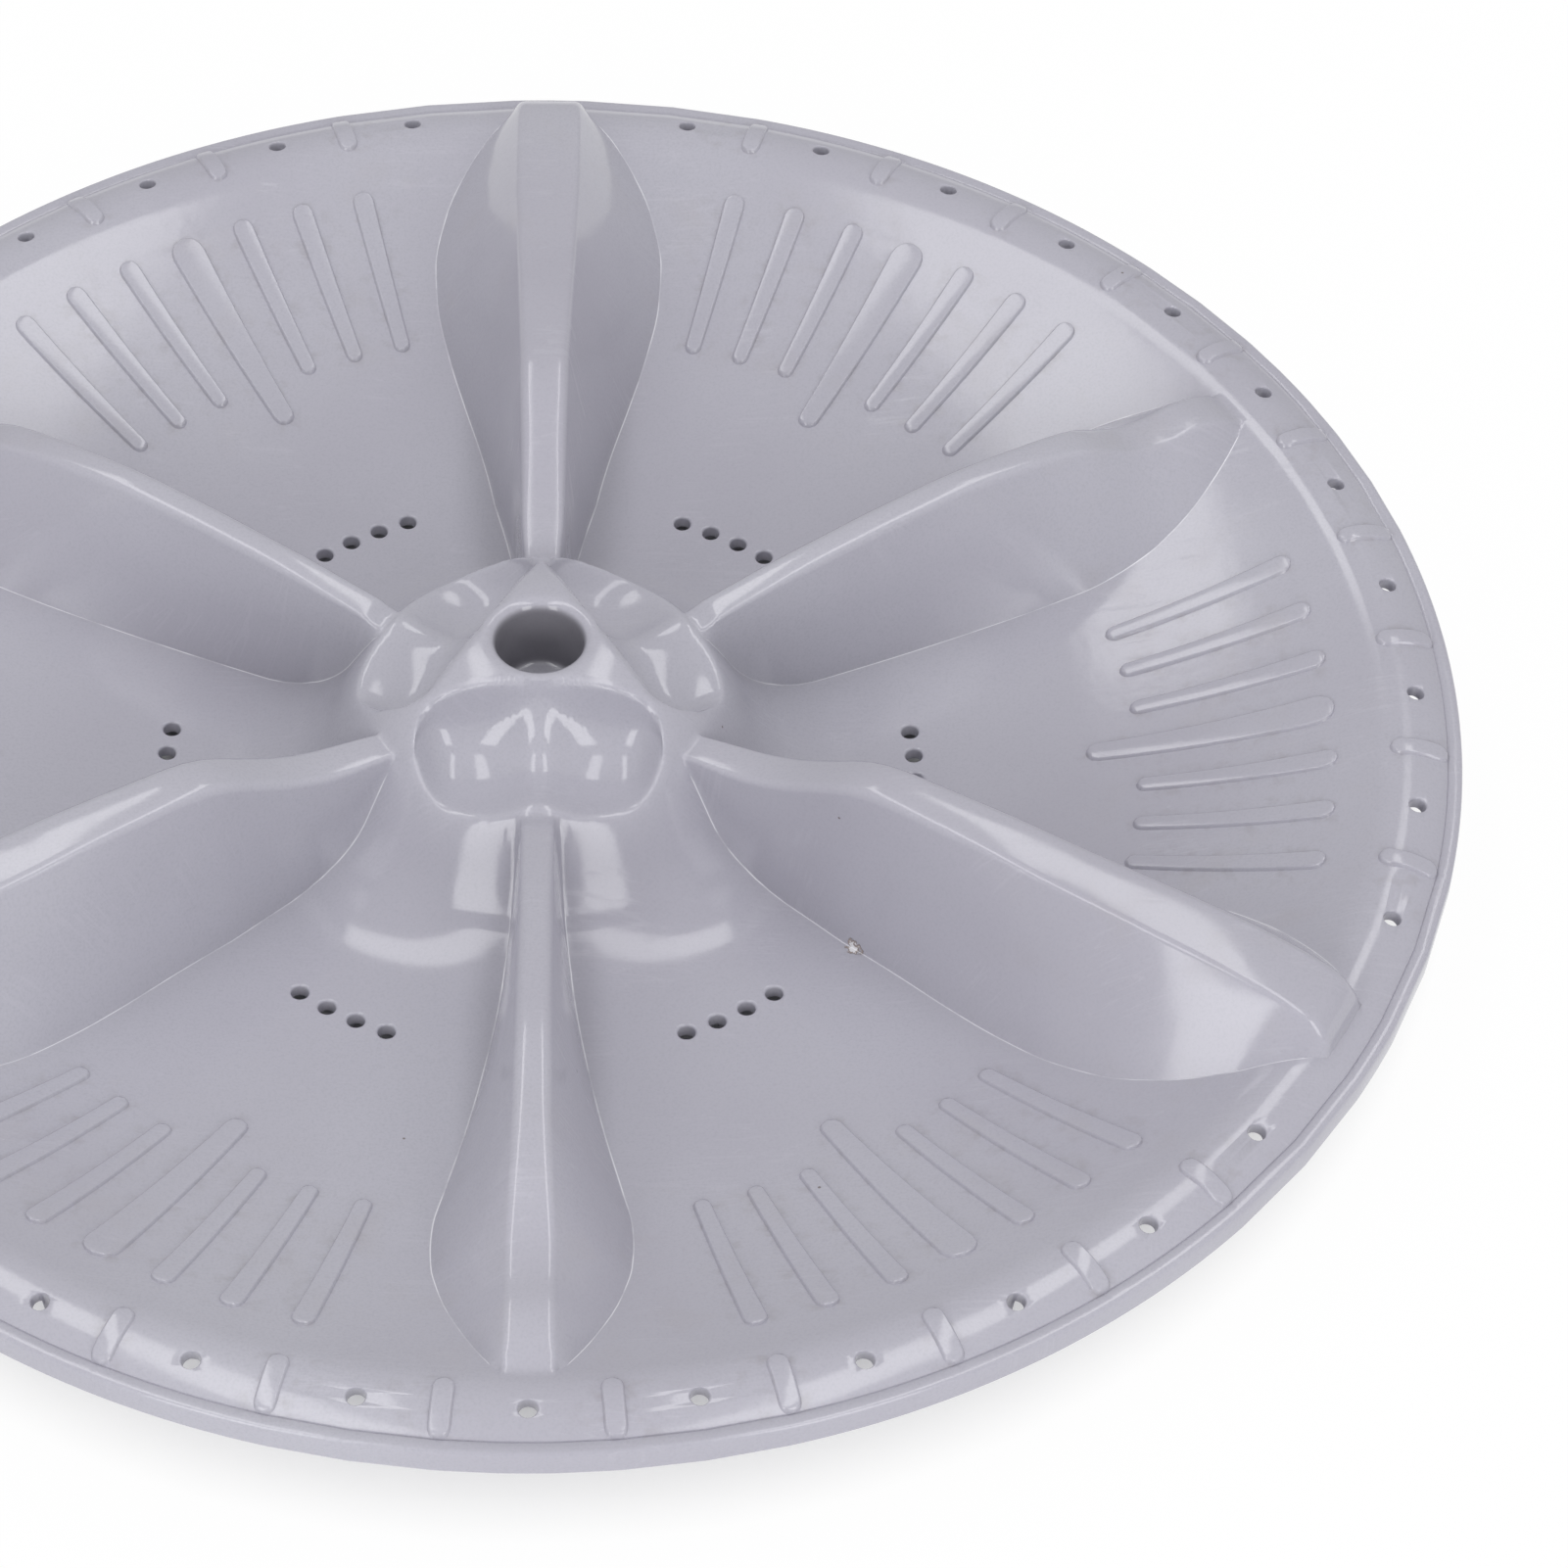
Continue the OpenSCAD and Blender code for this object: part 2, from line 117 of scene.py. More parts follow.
paper_mix = node(paper, "ShaderNodeMixShader", {}, {
    0: glow_share.outputs[0],
    1: paper_face.outputs[0],
    2: paper_glow.outputs[0],
})
node(paper, "ShaderNodeOutputMaterial", {}, {"Surface": paper_mix.outputs[0]})
floor_mesh = bmesh.new()
bmesh.ops.create_grid(floor_mesh, x_segments=1, y_segments=1, size=3)
floor_data = bpy.data.meshes.new("floor")
floor_mesh.to_mesh(floor_data)
floor_mesh.free()
floor_data.materials.append(paper)
floor = bpy.data.objects.new("floor", floor_data)
bpy.context.scene.collection.objects.link(floor)

# Studio light: two window boxes behind the camera, left and right, each of an upright pane and
# an overhead pane with a bar between them, and a pale room that fills the shadows.
def light_pane(name, centre, towards, width, height, power, long_axis):
    data = bpy.data.lights.new(name, "AREA")
    data.shape = "RECTANGLE"
    data.size = width
    data.size_y = height
    data.energy = power
    pane = bpy.data.objects.new(name, data)
    back = (centre - towards).normalized()
    side = long_axis.cross(back).normalized()
    pane.matrix_world = Matrix((
        (side.x, back.cross(side).x, back.x, centre.x),
        (side.y, back.cross(side).y, back.y, centre.y),
        (side.z, back.cross(side).z, back.z, centre.z),
        (0, 0, 0, 1),
    ))
    bpy.context.scene.collection.objects.link(pane)
    return pane


def from_disc(azimuth, elevation, distance):
    a = math.radians(azimuth)
    e = math.radians(elevation)
    return Vector((math.sin(a) * math.cos(e), math.cos(a) * math.cos(e), math.sin(e))) * distance


disc_middle = Vector((0, 0, 0.02))
pane_power = 6
for side in (-1, 1):
    low = from_disc(side * 151, 23, 1.6)
    high = Vector((side * 0.42, 0.2, 1.4))
    straight_below = Vector((high.x, high.y, 0))
    light_pane(f"upright_pane_{side}", low, disc_middle, 0.5, 1.0, pane_power, Vector((0, 0, 1)))
    light_pane(f"overhead_pane_{side}", high, straight_below, 0.28, 2.07, pane_power, Vector((0, 1, 0)))
world = bpy.data.worlds.new("pale_room")
world.use_nodes = True
room = world.node_tree.nodes["Background"]
room.inputs["Color"].default_value = linear("#FFFFFF")
room_ray = node(world, "ShaderNodeLightPath", {}, {})
room_power = node(world, "ShaderNodeMath", {"operation": "MULTIPLY_ADD", 1: 0.5, 2: 0.5}, {
    0: room_ray.outputs["Is Camera Ray"],
})
world.node_tree.links.new(room_power.outputs[0], room.inputs["Strength"])
bpy.context.scene.world = world

# The pulsator: one injection moulding of glossy lilac-grey plastic. Its upper skin is a height
# over every point of the plan, in millimetres: four arcs and the hub's straight flank, turned
# round the drive axis.
MM = 0.001
low_corner, high_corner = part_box("pulsator")
disc_r = high_corner.x / MM
wall = 2.6
rim_z = 26.9
dome_mid = (8, rim_z + 14.1 - 30)
dome_r = 30
low_r = 58
low_z = rim_z - 21.1
band_mid = (disc_r - 10.2, rim_z + 0.3 - 14)
band_r = 14
groove_r = disc_r - 2.8


def tangent_radius(mid, radius):
    drop = low_z - mid[1]
    return ((mid[0] - low_r) ** 2 + drop ** 2 - radius ** 2) / (2 * (radius - drop))


flank_slope = 1.8
flank_turn = math.atan(flank_slope)
dome_end = dome_mid[0] + dome_r * math.sin(flank_turn)
dome_end_z = dome_mid[1] + dome_r * math.cos(flank_turn)
sweep_r = (flank_slope * (low_r - dome_end) - dome_end_z + low_z) / (
    flank_slope * math.sin(flank_turn) - 1 + math.cos(flank_turn))
sweep_start = low_r - sweep_r * math.sin(flank_turn)
dish_r = tangent_radius(band_mid, band_r)


def arc_meeting(mid, radius, hollow_r):
    angle = math.atan2(low_z + hollow_r - mid[1], low_r - mid[0])
    return mid[0] + radius * math.cos(angle)


dish_end = arc_meeting(band_mid, band_r, dish_r)


def skin_z(r):
    if r < dome_end:
        return dome_mid[1] + math.sqrt(dome_r ** 2 - max(r - dome_mid[0], 0) ** 2)
    if r < sweep_start:
        return dome_end_z - flank_slope * (r - dome_end)
    if r < low_r:
        return low_z + sweep_r - math.sqrt(sweep_r ** 2 - (low_r - r) ** 2)
    if r < dish_end:
        return low_z + dish_r - math.sqrt(dish_r ** 2 - (r - low_r) ** 2)
    return band_mid[1] + math.sqrt(band_r ** 2 - min(r - band_mid[0], band_r) ** 2)


def skin_slope(r):
    return (skin_z(r + 0.05) - skin_z(r - 0.05)) / 0.1


# Vanes: three tall and three stepped, hollow inside and drafted like every moulded wall. Each row
# is a station along the vane: radius, crest over the rim, half width of crest and of foot.
tall_rows = (
    (29.2, 0.73, 3.0, 3.2), (33.3, 2.3, 3.3, 3.6), (36.9, 2.8, 3.6, 4.1), (40.8, 3.3, 3.9, 4.7),
    (46.2, 4.35, 4.1, 5.2), (52.4, 6.5, 4.2, 6.0), (58.3, 9.4, 4.3, 7.1), (64.4, 12.5, 4.4, 8.5),
    (69.4, 14.1, 4.5, 9.8), (74.5, 14.5, 4.5, 10.8), (82.5, 14.2, 4.7, 12.7), (94.5, 13.6, 5.0, 16.2),
    (106.6, 12.5, 5.3, 19.6), (118.7, 11.75, 5.5, 22.1), (127.7, 11.2, 5.7, 22.6),
    (138.9, 10.4, 5.8, 20.6), (147.9, 9.3, 5.9, 16.9), (154.9, 8.0, 6.0, 12.7), (158.8, 6.7, 6.0, 9.9),
    (161.2, 4.6, 6.0, 8.2), (162.9, 1.45, 6.0, 7.2), (163.7, -2.9, 6.0, 6.9),
)
stepped_rows = (
    (30.3, 0.2, 2.6, 3.6), (34.2, 2.2, 2.9, 4.0), (37.7, 3.1, 2.9, 4.3), (41.8, 4.0, 2.9, 4.7),
    (46.2, 4.95, 2.9, 5.2), (52.4, 6.2, 2.9, 6.0), (60.4, 7.4, 2.9, 7.0), (76.5, 9.2, 2.9, 9.6),
    (90.6, 10.1, 2.9, 12.3), (104.6, 9.5, 2.9, 15.3), (113.7, 8.5, 3.1, 17.0), (118.7, 7.4, 3.3, 17.2),
    (124.8, 4.55, 3.6, 16.9), (130.7, 2.2, 3.8, 15.7), (135.8, 1.8, 3.8, 14.2), (142.8, 2.6, 3.9, 11.2),
    (147.9, 1.9, 4.0, 8.6), (151.8, 0.3, 4.2, 6.3), (154.4, -1.4, 4.3, 4.8), (155.9, -3.0, 4.4, 4.6),
)
crest_r = 2.0
nose_crest_r = 0.9
TALL_ANGLE = 60


def row_slopes(rows, column):
    steps = [(b[column] - a[column]) / (b[0] - a[0]) for a, b in zip(rows, rows[1:])]
    slopes = [steps[0]]
    for before, after in zip(steps, steps[1:]):
        slopes.append(2 * before * after / (before + after) if before * after > 0 else 0)
    return slopes + [steps[-1]]


class Vane:
    def __init__(self, rows):
        self.rows = rows
        self.slopes = [None] + [row_slopes(rows, column) for column in (1, 2, 3)]

    def value(self, x, column):
        rows = self.rows
        x = min(max(x, rows[0][0]), rows[-1][0])
        i = max(n for n in range(len(rows) - 1) if rows[n][0] <= x)
        length = rows[i + 1][0] - rows[i][0]
        t = (x - rows[i][0]) / length
        start = rows[i][column]
        end = rows[i + 1][column]
        s0 = self.slopes[column][i] * length
        s1 = self.slopes[column][i + 1] * length
        return (start * (1 + 2 * t) + s0 * t) * (1 - t) ** 2 + (end * (3 - 2 * t) - s1 * (1 - t)) * t * t

    def section(self, x, inset):
        crest = rim_z + self.value(x, 1) - inset
        half = max(self.value(x, 2) - 0.85 * inset, 0.6)
        foot = max(self.value(x, 3) - 1.25 * inset, half + 0.3)
        ground = skin_z(math.hypot(x, foot)) - inset
        rise = max(crest - ground, 2.5)
        turn = math.atan2(rise, foot - half)
        edge_r = nose_crest_r + (crest_r - nose_crest_r) * min(max((x - 36) / 22, 0), 1)
        corner = min(edge_r * math.tan(turn / 2), rise / 2 * math.tan(turn / 2), 0.7 * half)
        return crest, half, foot, rise, turn, corner

    def lines(self, x, inset):
        crest, half, foot, rise, turn, corner = self.section(x, inset)
        radius = corner / math.tan(turn / 2)
        inner = half - corner
        return (
            [0, inner]
            + [inner + radius * math.sin(turn * share) for share in (1 / 3, 2 / 3, 1)]
            + [(inner + radius * math.sin(turn) + foot) / 2, foot]
        )

    def height(self, x, y, inset):
        crest, half, foot, rise, turn, corner = self.section(x, inset)
        y = abs(y)
        if x < self.rows[0][0] or x > self.rows[-1][0] or y > foot + 2:
            return -100
        inner = half - corner
        radius = corner / math.tan(turn / 2)
        if y <= inner:
            return crest
        if y <= inner + radius * math.sin(turn):
            return crest - radius + math.sqrt(max(radius ** 2 - (y - inner) ** 2, 0))
        return crest - (y - half) * math.tan(turn)


tall_vane = Vane(tall_rows)
stepped_vane = Vane(stepped_rows)

# Hub recesses: three two-lobed bowls sunk in the dome. Each has an upright wall towards the bore,
# runs up to the dish outwards and to the sides, and has a soft ridge between its lobes. The rim is
# rounded all round. u runs outwards along the middle of the bowl and v across it.
recess_in, recess_out, recess_side, recess_corner = 11.0, 35.0, 22.3, 8.0
recess_floor_z = rim_z - 2.1
low_u = 21.4
climb_side = 6.8
lobe_mid, lobe_r = 13.2, 22.0
flank_rise, ridge_r = 0.42, 6.8
recess_edge_r = 1.8
corner_v = recess_side - recess_corner
inner_mid_u = recess_in + recess_corner
outer_mid_u = math.sqrt((recess_out - recess_corner) ** 2 - corner_v ** 2)


def soft_min(a, b, size):
    return (a + b - math.sqrt((a - b) ** 2 + size ** 2)) / 2


def ramp(value, start, end):
    t = min(max((value - start) / (end - start), 0), 1)
    return t * t * (3 - 2 * t)


def ridge_z(v):
    foot = lobe_mid - lobe_r * flank_rise
    crown = ridge_r * flank_rise
    foot_h = (foot - lobe_mid) ** 2 / lobe_r / 2
    if v > foot:
        return (v - lobe_mid) ** 2 / lobe_r / 2
    if v > crown:
        return foot_h + flank_rise * (foot - v)
    return foot_h + flank_rise * (foot - crown) + (crown ** 2 - v ** 2) / ridge_r / 2


def bowl_z(u, v):
    v = abs(v)
    inwards = min(max(low_u - u, 0), low_u - recess_in)
    outwards = max(u - low_u, 0)
    z = recess_floor_z + 0.0631 * inwards ** 2 + 0.000165 * inwards ** 4 + 0.02 * outwards ** 2
    if v > lobe_mid:
        return z + climb_side * min((v - lobe_mid) / (recess_side - lobe_mid), 1) ** 2.9
    return z + ridge_z(v) * (1 + 0.5 * ramp(inwards, 0, 7))


def outside_recess(u, v):
    v = abs(v)
    over_u, over_v = u - outer_mid_u, v - corner_v
    outside = max(recess_in - u, v - recess_side, math.hypot(u, v) - recess_out)
    if over_v > 0 and u < inner_mid_u:
        outside = math.hypot(u - inner_mid_u, over_v) - recess_corner
    elif over_u > 0 and over_v * outer_mid_u > over_u * corner_v:
        outside = math.hypot(over_u, over_v) - recess_corner
    return -soft_min(-outside, u - recess_in - 0.004 * v * v, 0.7)


WALL_RISE = 12


def open_bowl_z(u, v):
    return bowl_z(u, v) + WALL_RISE * max(outside_recess(u, v), 0)


def recessed(z, u, v):
    outside = outside_recess(u, v)
    bowl = open_bowl_z(u, v)
    if outside >= recess_edge_r:
        edge = 0
    elif outside > 0:
        edge = math.sqrt(recess_edge_r ** 2 - (recess_edge_r - outside) ** 2) - recess_edge_r
    else:
        edge = WALL_RISE * outside - recess_edge_r
    return -soft_min(-z - edge, -soft_min(z, bowl, 2.0), 3 * ramp(z - bowl, 1, 6))


# Raised strips and short ribs: seven strips fan out between each pair of vanes, the middle one
# wider, and short ribs stand on the rim band. All have rounded top edges.
strip_h = 0.72
strip_in, strip_out = 111.0, 147.3
middle_in = 101.9
strip_w = (3.3, 4.4)
middle_w = (4.3, 7.0)
rib_in, rib_out, rib_w = disc_r - 13.6, disc_r - 2.4, 3.9
STRIP_STEP = 5
STRIP_ANGLES = [15 + STRIP_STEP * n for n in range(7)]
RIB_ANGLES = (5, 15, 25, 35, 45)
MIDDLE_ANGLE = 30
side_w = 0.22
edge_w = 0.5


class Strip:
    def __init__(self, angle, start, end, widths):
        self.angle = math.radians(angle)
        self.radii = (widths[0] / 2, widths[1] / 2)
        self.mids = (start + self.radii[0], end - self.radii[1])
        self.reach = (start, end)

    def radius_at(self, x):
        share = min(max((x - self.mids[0]) / (self.mids[1] - self.mids[0]), 0), 1)
        return self.radii[0] + (self.radii[1] - self.radii[0]) * share

    def half(self, x, inset):
        over = max(self.mids[0] - x, x - self.mids[1], 0)
        return math.sqrt(max((self.radius_at(x) - inset) ** 2 - over ** 2, 0))

    def foot_gap(self, r, angle):
        x = r * math.cos(angle - self.angle)
        y = r * math.sin(angle - self.angle)
        over = max(self.mids[0] - x, x - self.mids[1], 0)
        return self.radius_at(x) - math.hypot(over, y)

    def rise(self, r, angle):
        depth = self.foot_gap(r, angle)
        if depth <= 0:
            return 0
        if depth < side_w:
            return 0.74 * strip_h * depth / side_w
        return strip_h * min(0.74 + 0.26 * (depth - side_w) / (edge_w - side_w), 1)


strips = [Strip(a, middle_in, strip_out, middle_w) if a == MIDDLE_ANGLE else Strip(a, strip_in, strip_out, strip_w)
          for a in STRIP_ANGLES]
ribs = {a: Strip(a, rib_in, rib_out, (rib_w, rib_w)) for a in RIB_ANGLES}


# Skins: the whole upper skin, and the lower skin one wall beneath it, with the ribs that stiffen
# the disc from below. The shape repeats every 60 degrees in mirror image, from stepped vane to tall.
rib_t = 1.8
under_rib_h = 5.0
boss_r = 15
boss_z = 0.6
HUB_REACH = 46


def whole_height(r, angle):
    x, y = r * math.cos(angle), r * math.sin(angle)
    turned = math.radians(TALL_ANGLE) - angle
    tall_x, tall_y = r * math.cos(turned), r * math.sin(turned)
    z = skin_z(r)
    blend = 0.7 * min(max((52 - r) / 10, 0), 1) + 0.02
    z = -soft_min(-z, -stepped_vane.height(x, y, 0), blend)
    return -soft_min(-z, -tall_vane.height(tall_x, tall_y, 0), blend)


def top_height(r, angle):
    z = whole_height(r, angle)
    if r < HUB_REACH:
        return recessed(z, r * math.cos(angle), r * math.sin(angle))
    for strip in strips + list(ribs.values()):
        z += strip.rise(r, angle)
    return z


def under_height(r, angle):
    x, y = r * math.cos(angle), r * math.sin(angle)
    turned = math.radians(TALL_ANGLE) - angle
    tall_x, tall_y = r * math.cos(turned), r * math.sin(turned)
    r = min(r, groove_r)
    z = skin_z(r) - wall * math.sqrt(1 + min(abs(skin_slope(r)), 1.6) ** 2)
    opened = min(max((r - 48) / 8, 0), 1)
    if opened > 0:
        hollow = max(stepped_vane.height(x, y, wall), tall_vane.height(tall_x, tall_y, wall))
        z = max(z, z + (hollow - z) * opened)
    if r < HUB_REACH:
        z = soft_min(z, bowl_z(x, y) - wall + 6 * max(outside_recess(x, y) - wall, 0), 1.5)
    across = r * abs(math.sin(angle - math.radians(MIDDLE_ANGLE)))
    if across < rib_t / 2:
        z = max(z - under_rib_h, 0.5) if r > low_r else boss_z
    return z


# The mesh of the hub is gathered along the rims of the recesses, so that their rounding is fine.
# The rim is walked round from the middle of the bowl, and each mesh point moves straight at it.
bore_r = 8.0
mouth_r = 2.4
RIM_POINTS = 180
RIM_LINES = ((-2.4, -2.4), (-1.6, -1.2), (-0.8, -0.4), (0, 0), (0.7, 0.2), (1.4, 0.75), (2.1, 1.7), (3.0, 3.0))


def rim_point(angle):
    near, far = 4.0, 27.0
    for _ in range(22):
        reach = (near + far) / 2
        u, v = low_u + reach * math.cos(angle), reach * math.sin(angle)
        sunk = open_bowl_z(u, v) < whole_height(math.hypot(u, v), math.atan2(v, u))
        if sunk and outside_recess(u, v) < 0:
            near = reach
        else:
            far = reach
    return Vector((low_u + near * math.cos(angle), near * math.sin(angle)))


rim_line = [rim_point(math.pi * n / RIM_POINTS) for n in range(RIM_POINTS + 1)]
rim_reach = [(spot - Vector((low_u, 0))).length for spot in rim_line]


def nearest_on_rim(spot):
    n = min(range(len(rim_line)), key=lambda i: (rim_line[i] - spot).length_squared)
    best = rim_line[n]
    for a, b in ((n - 1, n), (n, n + 1)):
        if a >= 0 and b <= RIM_POINTS:
            run = rim_line[b] - rim_line[a]
            share = min(max((spot - rim_line[a]).dot(run) / run.length_squared, 0), 1)
            near = rim_line[a] + run * share
            if (near - spot).length < (best - spot).length:
                best = near
    return best


def beside_rim(u, v):
    turn = math.atan2(v, u - low_u) / math.pi * RIM_POINTS
    n = min(int(turn), RIM_POINTS - 1)
    reach = rim_reach[n] + (rim_reach[n + 1] - rim_reach[n]) * (turn - n)
    inside = math.hypot(u - low_u, v) < reach
    spot = Vector((u, v))
    return (nearest_on_rim(spot) - spot).length * (-1 if inside else 1)


def gathered_distance(distance):
    for (start, start_goal), (end, end_goal) in zip(RIM_LINES, RIM_LINES[1:]):
        if start <= distance < end:
            return start_goal + (end_goal - start_goal) * (distance - start) / (end - start)
    return distance


def gathered(u, v, beside, goal):
    if abs(beside) < 0.001 or math.hypot(u, v) >= HUB_REACH - 4:
        return u, v
    near = nearest_on_rim(Vector((u, v)))
    moved = near + (Vector((u, v)) - near) * (goal / beside)
    if u > 28:
        moved.y = v + (moved.y - v) * ramp(v, 0, 4)
    return moved.x, moved.y if v > 0.001 else v


# Lines of the mesh run outwards and lie on the creases of the vanes, strips and ribs.
VANE_LINES = 7
SIDES = ((-1, 0), (-1, side_w), (-1, edge_w), (1, edge_w), (1, side_w), (1, 0))
EVEN = [n / 5 for n in range(6)]
MIN_HALF = 0.07


def vane_angles(vane, r, inset):
    angles = []
    for n in range(VANE_LINES):
        y = 0
        for _ in range(6):
            y = vane.lines(math.sqrt(max(r * r - y * y, 1)), inset)[n]
        angles.append(math.asin(min(y / r, 0.9)))
    # On the upper skin two lines lie close beyond each vane foot; the first carries the painted highlight along it.
    painted_foot_highlight = 0 if inset else 0.13
    return angles + [angles[-1] + (painted_foot_highlight or 0.4) / r, angles[-1] + (2.4 * painted_foot_highlight or 0.8) / r]


def strip_angles(strip, r, spread):
    near, far = strip.reach
    outside = max(near - r, r - far, 0)
    loose = ramp(outside, 0, 7)
    inside_x = min(max(r, near), far)
    steps = []
    for share, (sign, inset) in zip(EVEN, SIDES):
        tight = sign * max(strip.half(inside_x, inset), MIN_HALF * (1 + 2 * (edge_w - inset) / edge_w)) / r
        steps.append(tight * (1 - loose) + (share - 0.5) * spread * loose)
    return [strip.angle + step for step in steps]


def between(start, end, count):
    return [start + (end - start) * (n + 1) / (count + 1) for n in range(count)]


def upper_lines(r, first, last):
    spread = math.radians(STRIP_STEP) * 0.75
    outer = ramp(r, 148.5, 155.5)
    packed = between(first, math.radians(15) - spread / 2, 6)
    rib_lines = strip_angles(ribs[5], max(r, 140), spread * 0.8)
    groups = [[a * (1 - outer) + b * outer for a, b in zip(packed, rib_lines)]]
    for angle, strip in zip(STRIP_ANGLES, strips):
        inner = strip_angles(strip, r, spread)
        rib_lines = [strip.angle + (share - 0.5) * spread for share in EVEN]
        if angle in ribs:
            rib_lines = strip_angles(ribs[angle], max(r, 140), spread)
        groups.append([a * (1 - outer) + b * outer for a, b in zip(inner, rib_lines)])
    tight = []
    for group, following in zip(groups, [g[0] for g in groups[1:]] + [last]):
        tight += group + [(group[-1] + following) / 2]
    loose = 1 - ramp(r, 88, 101)
    return [a * (1 - loose) + b * loose for a, b in zip(tight, between(first, last, len(tight)))]


def lower_lines(r, first, last):
    middle = math.radians(MIDDLE_ANGLE)
    half = rib_t / 2 / r
    across = [-1.02, -1, -0.5, 0.5, 1, 1.02]
    before = between(first, middle - 1.02 * half, 28)
    after = between(middle + 1.02 * half, last, 22)
    return before + [middle + half * share for share in across] + after


def line_angles(r, inset):
    vane_reach = max(r, 31)
    first = vane_angles(stepped_vane, min(vane_reach, 155.9), inset)
    last = [math.radians(TALL_ANGLE) - a for a in reversed(vane_angles(tall_vane, min(vane_reach, 163.7), inset))]
    if inset:
        middle = lower_lines(max(r, boss_r), first[-1], last[0])
        share = ramp(r, 4, boss_r)
    else:
        middle = upper_lines(r, first[-1], last[0])
        share = ramp(r, 28, 35)
    exact = first + middle + last
    even = between(0, math.radians(TALL_ANGLE), len(exact) - 2)
    even = [0] + even + [math.radians(TALL_ANGLE)]
    return [a * (1 - share) + b * share for a, b in zip(even, exact)]


def steps_to(start, end, size):
    count = max(1, round(abs(end - start) / size))
    return [start + (end - start) * (n + 1) / count for n in range(count)]


# Stations of the mesh, from the seat of the screw head out over the dish to the rim, down the
# outer wall and back inwards underneath. Each is a radius, a skin and a drop from it, or a level.
seat_z = rim_z + 14.1 - 15
seat_corner = 1.5
groove_z = skin_z(groove_r)
lip_r = 0.8
parting_z = groove_z - 3.6
parting_step = 0.15
skirt_z = groove_z - 5.7
QUARTER = [math.pi / 2 * n / 4 for n in range(5)]

stations = [(0, "level", seat_z), (2.8, "level", seat_z)]
stations += [(bore_r - seat_corner + seat_corner * math.sin(a), "level", seat_z + seat_corner * (1 - math.cos(a)))
             for a in QUARTER]
stations += [(bore_r + mouth_r * (1 - math.cos(a)), "top", mouth_r * (1 - math.sin(a))) for a in QUARTER]
radii = steps_to(bore_r + mouth_r, 34, 0.5) + steps_to(34, 46, 1.0) + steps_to(46, middle_in, 3.4)
radii += [middle_in + d for d in (side_w, edge_w, 1.1, 2.15)] + [107, 109.5]
radii += [strip_in + d for d in (0, side_w, edge_w, 1.0, 1.65)] + steps_to(strip_in + 1.65, 133, 1.5)
radii += steps_to(133, 143.8, 3.0) + [145.1, 145.9, 146.4] + [strip_out - d for d in (edge_w, side_w, 0)]
radii += steps_to(strip_out, rib_in, 1.0) + [rib_in + d for d in (side_w, edge_w, 1.1, 1.95)]
radii += steps_to(rib_in + 1.95, 164, 0.7) + [165.6, 166.3, 166.8, groove_r]
stations += [(r, "top", 0) for r in radii]
stations += [(groove_r + 0.1, "level", groove_z - 0.3), (groove_r + 0.6, "level", groove_z)]
stations += [(disc_r - lip_r * (1 - math.sin(a)), "level", groove_z - lip_r * (1 - math.cos(a))) for a in QUARTER]
stations += [(disc_r, "level", parting_z), (disc_r - parting_step, "level", parting_z - parting_step)]
stations += [(disc_r - parting_step, "level", skirt_z + 0.4), (disc_r - parting_step - 0.4, "level", skirt_z),
             (disc_r - wall + 0.3, "level", skirt_z), (disc_r - wall, "level", skirt_z + 0.3)]
upper_count = len(stations)
under_radii = [disc_r - wall] + steps_to(disc_r - wall - 1, 155, 2.4) + steps_to(155, 60, 7)
stations += [(r, "under", 0) for r in under_radii]
stations += [(low_r + rib_t / 2, "under", 0), (low_r + rib_t / 2, "level", 0), (low_r - rib_t / 2, "level", 0)]
stations += [(r, "under", 0) for r in [low_r - rib_t / 2] + steps_to(56, 44, 3) + steps_to(44, 34, 1.7)
             + steps_to(34, boss_r, 2.4)]
stations += [(boss_r, "level", boss_z + 0.5), (boss_r - 0.5, "level", boss_z), (9, "level", boss_z), (0, "level", boss_z)]

skin = bmesh.new()
line_count = len(line_angles(100, 0))
bmesh.ops.create_grid(skin, x_segments=line_count - 1, y_segments=len(stations) - 1, size=1)
skin.verts.ensure_lookup_table()
places = {}
foot_highlight_mark = skin.verts.layers.float.new("painted_foot_highlight")
for row, (r, side, value) in enumerate(stations):
    angles = line_angles(max(r, 1), wall if row >= upper_count else 0)
    for column, angle in enumerate(angles):
        places[row, column] = (r * math.cos(angle), r * math.sin(angle))
hub_rows = [row for row, (r, side, value) in enumerate(stations)
            if side == "top" and bore_r + mouth_r <= r < HUB_REACH]
beside = {(row, column): beside_rim(*places[row, column]) for row in hub_rows for column in range(line_count)}
rim_spots = {}
for spot, here in beside.items():
    for other in ((spot[0] + 1, spot[1]), (spot[0], spot[1] + 1)):
        for line, _ in RIM_LINES[1:-1]:
            if other in beside and (here - line) * (beside[other] - line) < 0:
                pick = min((s for s in (spot, other) if s[0] > hub_rows[0] and s[1] < line_count - 1),
                           key=lambda s: abs(beside[s] - line), default=None)
                if pick and abs(beside[pick] - line) < abs(beside[pick] - rim_spots.get(pick, 99)):
                    rim_spots[pick] = line
